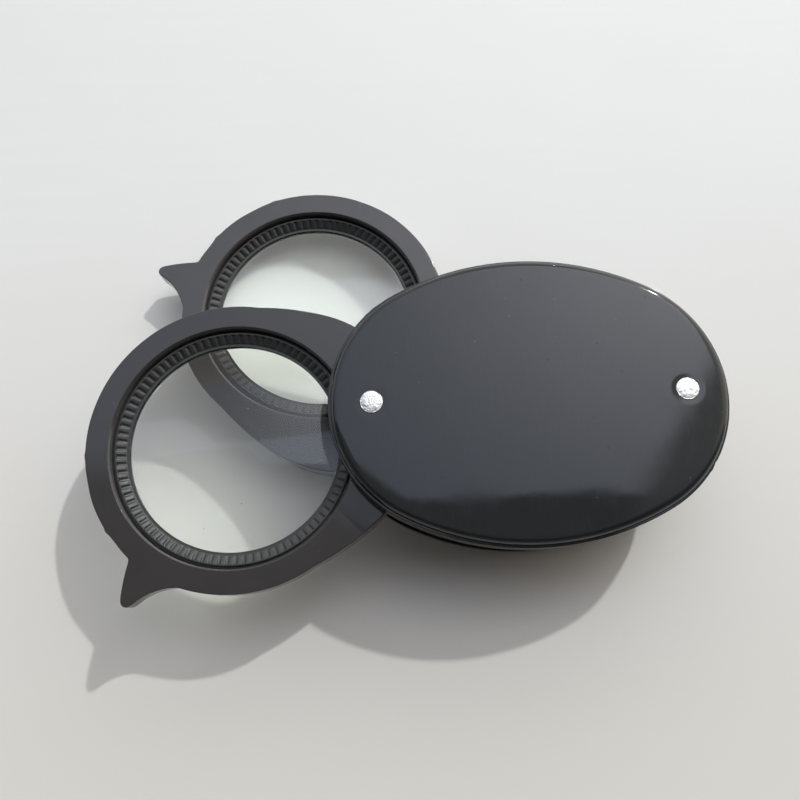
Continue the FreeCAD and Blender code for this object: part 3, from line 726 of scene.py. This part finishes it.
def make_retaining_ring(name, material):
    """The ring that holds the lens down: a slope cut into square ribs, with a bead outside it."""
    bead = RING_BODY - RING_BEAD
    land = RING_MOUTH + MOUTH_LAND
    sole_inner, sole_outer = RING_SOLE
    outside = rounded([
        (sole_outer, 0.0, 0.0),
        (RING_BASE, 0.0, 0.05),
        (RING_BASE, RING_FLANGE, 0.12),
        (RING_BODY, RING_FLANGE, 0.08),
        (RING_BODY, RING_HEIGHT, 0.18),
        (bead + 0.12, RING_HEIGHT, 0.0),
    ])
    rings = [circle(radius, height, FRAME_STEPS) for radius, height in outside]
    crest = rounded([
        (bead + 0.06, RING_HEIGHT - 0.01, 0.0),
        (bead - 0.06, RING_HEIGHT - 0.06, 0.1),
        (land + 0.25, MOUTH_HEIGHT + 0.3, 0.14),
        (land, MOUTH_HEIGHT, 0.0),
    ])
    floor = [(bead - 0.02, RING_HEIGHT - RIB_DEPTH), (land + 0.02, MOUTH_HEIGHT)]
    for n, (radius, height) in enumerate(crest):
        share = n / (len(crest) - 1)
        deep_radius = floor[0][0] + (floor[1][0] - floor[0][0]) * share
        deep_height = floor[0][1] + (floor[1][1] - floor[0][1]) * share
        ring = []
        for i in range(FRAME_STEPS):
            rib = rib_share(i)
            r = deep_radius + (radius - deep_radius) * rib
            z = deep_height + (height - deep_height) * rib
            angle = math.tau * i / FRAME_STEPS
            ring.append((r * math.cos(angle), r * math.sin(angle), z))
        rings.append(ring)
    inside = rounded([
        (land - 0.04, MOUTH_HEIGHT - 0.01, 0.0),
        (RING_MOUTH, MOUTH_HEIGHT - 0.01, 0.08),
        (RING_MOUTH, 0.0, 0.05),
        (sole_inner, 0.0, 0.0),
    ])
    rings += [circle(radius, height, FRAME_STEPS) for radius, height in inside]
    return skin(name, rings, material, wrap=True)


def lens_face(bulge, level, way, steps=24):
    """A spherical face from near its middle out to the rim, as (radius, height)."""
    sphere = (LENS_CLEAR**2 + bulge**2) / (2 * bulge)
    face = []
    for n in range(1, steps + 1):
        radius = LENS_CLEAR * n / steps
        height = bulge - sphere + math.sqrt(sphere**2 - radius**2)
        face.append((radius, level + way * height))
    return face


def make_lens(name, material):
    """A clear double-convex lens with a flat rim."""
    rim = rounded([
        (LENS_CLEAR + 0.1, 0.0, 0.0),
        (LENS_RADIUS, 0.0, 0.12),
        (LENS_RADIUS, LENS_RIM, 0.12),
        (LENS_CLEAR + 0.1, LENS_RIM, 0.0),
    ])
    profile = lens_face(LENS_UNDER, 0.0, -1) + rim + lens_face(LENS_RISE, LENS_RIM, 1)[::-1]
    rings = [circle(radius, height, LENS_STEPS) for radius, height in profile]
    bottom, top = (0.0, 0.0, -LENS_UNDER), (0.0, 0.0, LENS_RIM + LENS_RISE)
    return skin(name, rings, material, start=bottom, end=top)


def put_on_arm(piece, lens_node, level):
    """Moves a piece made round the middle of the lens to its place at rest."""
    low, high = box_mm(lens_node)
    centre = Vector(((low.x + high.x) / 2, (low.y + high.y) / 2))
    arm = centre - Vector(PIVOT)
    turn = Matrix.Rotation(math.atan2(arm.y, arm.x), 4, "Z")
    piece.data.transform(Matrix.Translation(Vector((centre.x, centre.y, level)) * MM) @ turn)
    return piece


# ---------------------------------------------------------------- materials


class Paint:
    """A Principled material with the few nodes that its patterns need."""

    def __init__(self, name, **sockets):
        self.material = bpy.data.materials.new(name)
        self.material.use_nodes = True
        self.tree = self.material.node_tree
        self.shader = self.tree.nodes["Principled BSDF"]
        for socket, value in sockets.items():
            self.shader.inputs[socket.replace("_", " ")].default_value = value
        self.place = self.tree.nodes.new("ShaderNodeTexCoord").outputs["Object"]

    def node(self, kind, **settings):
        """A new node with those fields set."""
        node = self.tree.nodes.new(kind)
        for field, value in settings.items():
            setattr(node, field, value)
        return node

    def link(self, out, into):
        """Joins an output to an input."""
        self.tree.links.new(out, into)

    def mapped(self, scale, turn=(0.0, 0.0, 0.0)):
        """The place on the object, turned and scaled."""
        node = self.node("ShaderNodeMapping")
        node.inputs["Scale"].default_value = scale
        node.inputs["Rotation"].default_value = turn
        self.link(self.place, node.inputs["Vector"])
        return node.outputs["Vector"]

    def grain(self, size, detail=3.0, stretch=(1.0, 1.0, 1.0), turn=0.0, rough=0.5):
        """Noise whose features are about that many millimetres across."""
        scale = tuple(1.0 / (size * MM) * s for s in stretch)
        node = self.node("ShaderNodeTexNoise")
        node.inputs["Scale"].default_value = 1.0
        node.inputs["Detail"].default_value = detail
        node.inputs["Roughness"].default_value = rough
        self.link(self.mapped(scale, (0.0, 0.0, turn)), node.inputs["Vector"])
        return node.outputs["Fac"]

    def specks(self, spacing, size):
        """One at scattered specks and zero elsewhere, in millimetres."""
        node = self.node("ShaderNodeTexVoronoi")
        node.inputs["Scale"].default_value = 1.0
        node.inputs["Randomness"].default_value = 1.0
        self.link(self.mapped((1 / (spacing * MM),) * 3), node.inputs["Vector"])
        return self.ramp(node.outputs["Distance"], size / spacing, size / spacing * 0.6, 0.0, 1.0)

    def ramp(self, value, low, high, out_low, out_high):
        """Maps a value from one range to another and holds it inside."""
        node = self.node("ShaderNodeMapRange", clamp=True)
        for socket, number in (
            ("From Min", low), ("From Max", high), ("To Min", out_low), ("To Max", out_high)
        ):
            node.inputs[socket].default_value = number
        self.link(value, node.inputs["Value"])
        return node.outputs["Result"]

    def math(self, operation, a, b):
        """Maths on two values, each an output or a plain number."""
        node = self.node("ShaderNodeMath", operation=operation)
        for socket, value in zip(node.inputs, (a, b)):
            if isinstance(value, float):
                socket.default_value = value
            else:
                self.link(value, socket)
        return node.outputs["Value"]

    def vector(self, operation, a, b=None):
        """Vector maths on outputs or plain vectors. Length gives a number."""
        node = self.node("ShaderNodeVectorMath", operation=operation)
        second = node.inputs["Scale"] if operation == "SCALE" else node.inputs[1]
        for socket, value in ((node.inputs[0], a), (second, b)):
            if isinstance(value, tuple):
                socket.default_value = value
            elif value is not None:
                self.link(value, socket)
        return node.outputs["Value" if operation == "LENGTH" else "Vector"]

    def blend(self, share, first, second):
        """A colour between two, each an output or four numbers."""
        node = self.node("ShaderNodeMix", data_type="RGBA")
        self.link(share, node.inputs["Factor"])
        for socket, value in ((node.inputs["A"], first), (node.inputs["B"], second)):
            if isinstance(value, tuple):
                socket.default_value = value
            else:
                self.link(value, socket)
        return node.outputs["Result"]

    def bump(self, height, depth, under=None):
        """Adds relief of that many millimetres on top of any relief under it."""
        node = self.node("ShaderNodeBump")
        node.inputs["Strength"].default_value = 1.0
        node.inputs["Distance"].default_value = depth * MM
        self.link(height, node.inputs["Height"])
        if under:
            self.link(under, node.inputs["Normal"])
        return node.outputs["Normal"]

    def scratches(self, turn, width, length, cover):
        """Fine lines in one direction."""
        lines = self.grain(width, 2.0, (1.0, width / length, width / length), turn)
        return self.ramp(lines, cover, cover + 0.06, 0.0, 1.0)

    def walls(self):
        """One on upright faces and zero on level ones."""
        split = self.node("ShaderNodeSeparateXYZ")
        self.link(self.tree.nodes["Texture Coordinate"].outputs["Normal"], split.inputs[0])
        return self.ramp(self.math("ABSOLUTE", split.outputs["Z"], 0.0), 0.55, 0.20, 0.0, 1.0)

    def use(self, colour=None, roughness=None, normal=None):
        """Puts the patterns on the shader and gives the material."""
        for value, socket in ((colour, "Base Color"), (roughness, "Roughness"), (normal, "Normal")):
            if value is not None:
                self.link(value, self.shader.inputs[socket])
        return self.material


def grey(level, blue=0.0):
    """A grey, or one that leans a little to blue."""
    return (level * (1 - blue), level, level * (1 + 2 * blue), 1.0)


def gloss_black(name):
    """Moulded black plastic with a worn gloss: fine scratches, pits, smudges and dust."""
    paint = Paint(name, IOR=1.5)
    tone = paint.blend(paint.grain(14.0, 4.0), grey(0.014, 0.04), grey(0.021, 0.06))
    hair = paint.scratches(1.65, 0.05, 6.0, 0.68)
    for turn, width, length, cover in ((0.7, 0.05, 4.0, 0.71), (2.1, 0.05, 7.0, 0.70)):
        hair = paint.math("MAXIMUM", hair, paint.scratches(turn, width, length, cover))
    tone = paint.blend(paint.math("MULTIPLY", hair, 0.4), tone, grey(0.07))
    tone = paint.blend(paint.math("MULTIPLY", paint.specks(3.4, 0.10), 0.6), tone, grey(0.22))
    smudge = paint.ramp(paint.grain(9.0, 5.0, rough=0.6), 0.4, 0.7, 0.03, 0.09)
    rough = paint.math("ADD", smudge, paint.math("MULTIPLY", hair, 0.06))
    relief = paint.bump(paint.grain(5.0, 2.0), 0.005)
    relief = paint.bump(paint.specks(3.6, 0.16), -0.016, relief)
    relief = paint.bump(hair, -0.0008, relief)
    return paint.use(tone, rough, relief)


def satin_black(name, painted_lift=1.0):
    """Black plastic with a fine grain, polished in patches, with painted light on its upright faces."""
    paint = Paint(name, IOR=1.5)
    # Painted light: a lift above one makes this copy lighter, standing in for the veil of light over
    # the lower frame.
    dark = (0.036 * painted_lift, 0.034 * painted_lift, 0.034 * painted_lift, 1.0)
    light = (0.050 * painted_lift, 0.046 * painted_lift, 0.046 * painted_lift, 1.0)
    tone = paint.blend(paint.grain(8.0, 4.0), dark, light)
    hair = paint.scratches(0.2, 0.07, 3.0, 0.70)
    hair = paint.math("MAXIMUM", hair, paint.scratches(-1.2, 0.06, 4.0, 0.70))
    tone = paint.blend(paint.math("MULTIPLY", hair, 0.3), tone, grey(0.07))
    tone = paint.blend(paint.math("MULTIPLY", paint.specks(3.0, 0.08), 0.5), tone, grey(0.25))
    # Painted light: upright faces are drawn lighter, standing in for the light that falls on the walls.
    painted_wall_light = paint.math("MULTIPLY", paint.walls(), 0.6)
    tone = paint.blend(painted_wall_light, tone, (0.120, 0.114, 0.110, 1.0))
    worn = paint.ramp(paint.grain(6.0, 5.0), 0.35, 0.7, 0.09, 0.15)
    rough = paint.math("ADD", worn, paint.math("MULTIPLY", hair, 0.1))
    relief = paint.bump(paint.grain(0.3, 3.0), 0.0006)
    relief = paint.bump(paint.grain(4.0, 2.0), 0.007, relief)
    relief = paint.bump(hair, -0.001, relief)
    return paint.use(tone, rough, relief)


def ring_black(name):
    """The black plastic of the ribbed rings, with specks of dust."""
    paint = Paint(name, IOR=1.5)
    tone = paint.blend(paint.grain(3.0, 4.0), grey(0.028), grey(0.042, 0.01))
    tone = paint.blend(paint.math("MULTIPLY", paint.specks(1.7, 0.08), 0.6), tone, grey(0.3))
    rough = paint.ramp(paint.grain(1.2, 4.0), 0.35, 0.7, 0.38, 0.52)
    return paint.use(tone, rough, paint.bump(paint.grain(0.3, 3.0), 0.006))


def peened_aluminium(name):
    """Soft bright metal, hammered over, with tiny dents and patches of dull film."""
    paint = Paint(name, Metallic=1.0)
    bright = paint.ramp(paint.grain(0.35, 4.0), 0.3, 0.62, 0.0, 1.0)
    tone = paint.blend(bright, grey(0.60), grey(0.86))
    film = paint.ramp(paint.grain(0.9, 3.0), 0.60, 0.72, 0.0, 0.45)
    tone = paint.blend(film, tone, grey(0.35))
    rough = paint.ramp(paint.grain(0.4, 4.0), 0.3, 0.7, 0.38, 0.55)
    return paint.use(tone, rough, paint.bump(paint.grain(0.25, 4.0), 0.022))


def turned_metal(name):
    """Turned bright metal with fine rings round it."""
    paint = Paint(name, Metallic=1.0)
    lines = paint.grain(0.12, 3.0, (0.05, 0.05, 1.0))
    tone = paint.blend(lines, grey(0.50), grey(0.72))
    rough = paint.ramp(lines, 0.3, 0.7, 0.22, 0.38)
    return paint.use(tone, rough, paint.bump(lines, 0.006))


def nylon(name):
    """The washers' milky nylon."""
    paint = Paint(name, IOR=1.53)
    tone = paint.blend(paint.grain(1.0, 4.0), (0.62, 0.60, 0.53, 1.0), (0.74, 0.72, 0.65, 1.0))
    rough = paint.ramp(paint.grain(0.5, 3.0), 0.3, 0.7, 0.40, 0.58)
    return paint.use(tone, rough, paint.bump(paint.grain(0.15, 3.0), 0.004))


def lens_glass(name, centre, along, across, shift):
    """A clear polished lens with a little dust.

    It gathers the slanting sunbeam into an oval spot on the table, so a shadow ray goes straight
    through an oval of that size, along and across the sun's direction in mm, and hardly beside it.
    The shift is how far the spot lies off the beam through the middle of the lens.
    """
    paint = Paint(name, IOR=1.49, Roughness=0.0)
    dust = paint.math("MULTIPLY", paint.specks(4.2, 0.13), 0.8)
    tone = paint.blend(dust, (0.99, 1.0, 0.985, 1.0), (0.25, 0.24, 0.22, 1.0))
    paint.link(paint.math("SUBTRACT", 1.0, dust), paint.shader.inputs["Transmission Weight"])
    paint.use(tone)

    from_middle = paint.vector("SUBTRACT", paint.place, tuple(centre * MM))
    turned = paint.node("ShaderNodeVectorTransform", vector_type="VECTOR")
    turned.convert_from, turned.convert_to = "OBJECT", "WORLD"
    paint.link(from_middle, turned.inputs[0])
    height = paint.node("ShaderNodeSeparateXYZ")
    paint.link(turned.outputs[0], height.inputs[0])
    beam = paint.vector("SCALE", tuple(SUN), height.outputs["Z"])
    on_plane = paint.vector("SUBTRACT", turned.outputs[0], beam)
    oval = paint.node("ShaderNodeMapping", vector_type="TEXTURE")
    oval.inputs["Rotation"].default_value = (0.0, 0.0, math.atan2(SUN.y, SUN.x) + SPOT_TURN)
    oval.inputs["Scale"].default_value = (along * MM, across * MM, 1.0)
    oval.inputs["Location"].default_value = (shift[0] * MM, shift[1] * MM, 0.0)
    paint.link(on_plane, oval.inputs["Vector"])
    spot = paint.ramp(paint.vector("LENGTH", oval.outputs["Vector"]), 1.04, 0.96, 0.06, 1.0)
    shadow = paint.node("ShaderNodeLightPath").outputs["Is Shadow Ray"]
    mix = paint.node("ShaderNodeMixShader")
    clear = paint.node("ShaderNodeBsdfTransparent")
    clear.inputs["Color"].default_value = (0.87, 0.90, 0.88, 1.0)
    paint.link(paint.math("MULTIPLY", shadow, spot), mix.inputs["Fac"])
    paint.link(paint.shader.outputs["BSDF"], mix.inputs[1])
    paint.link(clear.outputs["BSDF"], mix.inputs[2])
    paint.link(mix.outputs["Shader"], paint.tree.nodes["Material Output"].inputs["Surface"])
    return paint.material


def table_top(name):
    """The pale table: off-white, with the faintest streaks along it and painted shade, darker and
    warmer, on its near side.
    """
    paint = Paint(name, IOR=1.45)
    streaks = paint.ramp(paint.grain(2.6, 4.0, (0.05, 1.0, 1.0)), 0.3, 0.7, 0.0, 1.0)
    tone = paint.blend(streaks, (0.800, 0.795, 0.790, 1.0), (0.815, 0.811, 0.807, 1.0))
    cloud = paint.ramp(paint.grain(26.0, 3.0), 0.35, 0.7, 0.0, 0.5)
    tone = paint.blend(cloud, tone, (0.790, 0.781, 0.773, 1.0))
    # Painted shade: the near side is drawn darker and warmer, standing in for the dimmer, warmer light
    # that falls there.
    split = paint.node("ShaderNodeSeparateXYZ")
    paint.link(paint.place, split.inputs[0])
    near = paint.ramp(split.outputs["Y"], 0.06, -0.05, 0.0, 1.0)
    tone = paint.blend(near, tone, (0.750, 0.718, 0.672, 1.0))
    tone = paint.blend(paint.math("MULTIPLY", paint.specks(11.0, 0.12), 0.25), tone, grey(0.45))
    rough = paint.ramp(streaks, 0.3, 0.7, 0.7, 0.8)
    return paint.use(tone, rough, paint.bump(paint.grain(2.0, 4.0, (0.2, 1.0, 1.0)), 0.004))


# ---------------------------------------------------------------- the object


def add(piece, body, slot, *nodes):
    """Puts a piece on the body it rides on and hides the CAD nodes it stands for. The slot, its finish,
    is not used.
    """
    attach(piece, body)
    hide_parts(*nodes)
    return piece


def build_case():
    """The covers, the rivets and what is stacked on them."""
    add(make_top_cover(gloss_black("cover_gloss")), "case", "cover_plastic", "top_cover")
    add(make_bottom_cover(gloss_black("pan_gloss")), "case", "cover_plastic", "bottom_cover")
    metal = peened_aluminium("rivet_aluminium")
    for node, seed in (("pivot_rivet", 1.7), ("rear_rivet", 8.3)):
        add(make_rivet(node, seed, metal), "case", "rivet_metal", node)
    post = turned_metal("post_aluminium")
    for node in ("rear_post", "pivot_spacer"):
        add(make_sleeve(node, 0.15, post), "case", "post_metal", node)
    washer = nylon("washer_nylon")
    for side in ("under_lower", "over_lower", "under_upper", "over_upper"):
        node = f"washer_{side}_frame"
        add(make_sleeve(node, 0.05, washer), "case", "washer_plastic", node)


def build_arm(side, seed, plastic, ribbed, spot):
    """One frame with its lens and retaining ring. The spot is the oval of light under the lens."""
    arm = f"{side}_lens_arm"
    frame_node, ring_node, lens_node = f"{side}_lens_frame", f"{side}_retaining_ring", f"{side}_lens"
    frame_low, ring_low = box_mm(frame_node)[0].z, box_mm(ring_node)[0].z
    low, high = box_mm(lens_node)
    glass = lens_glass(f"{side}_glass", (low + high) / 2, *spot)
    body = make_frame(f"{side}_frame_body", seed, plastic)
    ring = make_retaining_ring(f"{side}_ribbed_ring", ribbed)
    lens = make_lens(f"{side}_lens_clear", glass)
    add(put_on_arm(body, lens_node, frame_low), arm, "frame_plastic", frame_node)
    add(put_on_arm(ring, lens_node, ring_low), arm, "ring_plastic", ring_node)
    add(put_on_arm(lens, lens_node, frame_low + LIP_THICK), arm, "lens", lens_node)


def add_lamp(name, kind, energy, colour, place, towards):
    """A lamp that only lights: bounced rays don't meet it, so the lenses don't count it twice."""
    data = bpy.data.lights.new(name, kind)
    data.energy = energy
    data.color = colour
    data.cycles.use_multiple_importance_sampling = False
    lamp = bpy.data.objects.new(name, data)
    lamp.location = place
    lamp.rotation_euler = Vector(towards).to_track_quat("-Z", "Y").to_euler()
    bpy.context.collection.objects.link(lamp)
    return data


def build_stage():
    """A pale table top, a slanting sun from the far right and a soft window beyond the object."""
    half = TABLE_HALF
    corners = [(-half, -half, 0), (half, -half, 0), (half, half, 0), (-half, half, 0)]
    mesh = bpy.data.meshes.new("table")
    mesh.from_pydata(corners, [], [(0, 1, 2, 3)])
    finish_mesh("table", mesh, table_top("table_top"))
    sun = add_lamp("sun", "SUN", SUN_POWER, (0.965, 1.0, 0.97), (0.0, 0.0, 1.0), -SUN)
    sun.angle = math.radians(1.6)
    panel = add_lamp(
        "window", "AREA", PANEL_POWER, (0.93, 0.97, 1.0), WINDOW_PLACE, -WINDOW_PLACE
    )
    panel.shape = "RECTANGLE"
    panel.size, panel.size_y = WINDOW_SIZE


class Sky:
    """The room's light as a sum of glows, each a colour times a share of the directions."""

    def __init__(self):
        world = bpy.data.worlds.new("room")
        bpy.context.scene.world = world
        world.use_nodes = True
        world.cycles.sampling_method = "NONE"
        self.tree = world.node_tree
        self.place = self.tree.nodes.new("ShaderNodeTexCoord").outputs["Generated"]
        split = self.tree.nodes.new("ShaderNodeSeparateXYZ")
        self.tree.links.new(self.place, split.inputs[0])
        self.height = split.outputs["Z"]
        up = self.calc("MAXIMUM", self.height, 0.01)
        self.north = self.calc("DIVIDE", split.outputs["Y"], up)
        self.east = self.calc("DIVIDE", split.outputs["X"], up)
        self.total = None

    def calc(self, operation, a, b):
        """Maths on two values, each an output or a plain number."""
        node = self.tree.nodes.new("ShaderNodeMath")
        node.operation = operation
        for socket, value in zip(node.inputs, (a, b)):
            if isinstance(value, float):
                socket.default_value = value
            else:
                self.tree.links.new(value, socket)
        return node.outputs[0]

    def edge(self, value, low, high):
        """Zero up to the low value and one from the high value, which may be the lesser."""
        node = self.tree.nodes.new("ShaderNodeMapRange")
        node.interpolation_type = "SMOOTHSTEP"
        node.inputs["From Min"].default_value = low
        node.inputs["From Max"].default_value = high
        self.tree.links.new(value, node.inputs["Value"])
        return node.outputs["Result"]

    def towards_sun(self):
        """The cosine of the angle from the sun."""
        node = self.tree.nodes.new("ShaderNodeVectorMath")
        node.operation = "DOT_PRODUCT"
        node.inputs[1].default_value = SUN.normalized()
        self.tree.links.new(self.place, node.inputs[0])
        return self.calc("MAXIMUM", node.outputs["Value"], 0.0)

    def glow(self, colour, strength, share=None):
        """Adds a light to the sum, everywhere or over a share of the directions."""
        shade = self.tree.nodes.new("ShaderNodeBackground")
        shade.inputs["Color"].default_value = (*colour, 1.0)
        if share is None:
            shade.inputs["Strength"].default_value = strength
        else:
            self.tree.links.new(self.calc("MULTIPLY", share, strength), shade.inputs["Strength"])
        if self.total is not None:
            both = self.tree.nodes.new("ShaderNodeAddShader")
            self.tree.links.new(self.total, both.inputs[0])
            self.tree.links.new(shade.outputs[0], both.inputs[1])
            shade = both
        self.total = shade.outputs[0]

    def finish(self):
        """Lights the world with the sum."""
        out = self.tree.nodes["World Output"].inputs["Surface"]
        self.tree.links.new(self.total, out)


def build_world():
    """Daylight: a window beyond the object that brightens towards the sun, in a dim warm room.

    North and east are how far a direction leans that way for each unit of height.
    """
    sky = Sky()
    lean = sky.calc("MULTIPLY", sky.edge(sky.east, 0.01, -0.16), -0.105)
    near_side = sky.edge(sky.calc("ADD", sky.north, lean), 0.088, 0.104)
    slant = sky.calc("SUBTRACT", sky.calc("MULTIPLY", sky.north, 0.64), sky.east)
    right_side = sky.edge(slant, -0.30, -0.24)
    left_side = sky.edge(sky.east, -1.3, -1.15)
    far_side = sky.edge(sky.north, 0.75, 0.6)
    opening = sky.calc("MULTIPLY", near_side, right_side)
    window = sky.calc("MULTIPLY", opening, sky.calc("MULTIPLY", left_side, far_side))

    # The window's panes, their brighter part towards the sun, and what lies past their far edge.
    sky.glow((0.70, 0.83, 1.06), PANE, window)
    flare = sky.calc("POWER", sky.towards_sun(), 10.0)
    sky.glow((1.0, 0.98, 0.99), 3.7 * PANE, sky.calc("MULTIPLY", window, flare))
    beyond = sky.calc("MULTIPLY", opening, sky.edge(sky.north, 0.6, 0.75))
    sky.glow((1.0, 1.0, 0.97), BEYOND, beyond)

    # The wall beside the window, a bright area far to the right, the ceiling, the low walls, and
    # a dim light from everywhere.
    side = sky.calc("MULTIPLY", sky.edge(slant, -0.24, -0.30), sky.edge(sky.north, -0.1, 0.25))
    sky.glow((1.0, 0.98, 0.95), 0.55 * PANE, side)
    east = sky.calc("MULTIPLY", sky.edge(sky.east, 0.45, 0.65), sky.edge(sky.north, -0.2, 0.3))
    sky.glow((1.04, 1.0, 0.90), EAST, east)
    sky.glow((1.0, 0.96, 0.95), 0.15 * PANE, sky.edge(sky.height, 0.85, 0.95))
    sky.glow((1.0, 0.97, 0.94), WALLS, sky.edge(sky.height, 0.45, 0.30))
    sky.glow((1.2, 0.95, 0.88), ROOM)
    sky.finish()


def build_camera():
    """The photograph's viewpoint, above the object and a little to its near side."""
    data = bpy.data.cameras.new("camera")
    data.lens = 36.0
    data.sensor_width = 36.0
    data.clip_start = 0.001
    camera = bpy.data.objects.new("camera", data)
    camera.location = CAMERA_PLACE
    camera.rotation_euler = tuple(math.radians(angle) for angle in CAMERA_TURN)
    bpy.context.collection.objects.link(camera)
    bpy.context.scene.camera = camera
    bpy.context.scene.view_settings.view_transform = "Standard"


build_case()
ribbed = ring_black("ring_ribbed")
build_arm("upper", 2.0, satin_black("upper_frame_satin"), ribbed, UPPER_SPOT)
# The lower frame's plastic is painted lighter: a painted veil of light over that frame.
build_arm("lower", 6.0, satin_black("lower_frame_satin", 1.6), ribbed, LOWER_SPOT)
build_stage()
build_world()
build_camera()
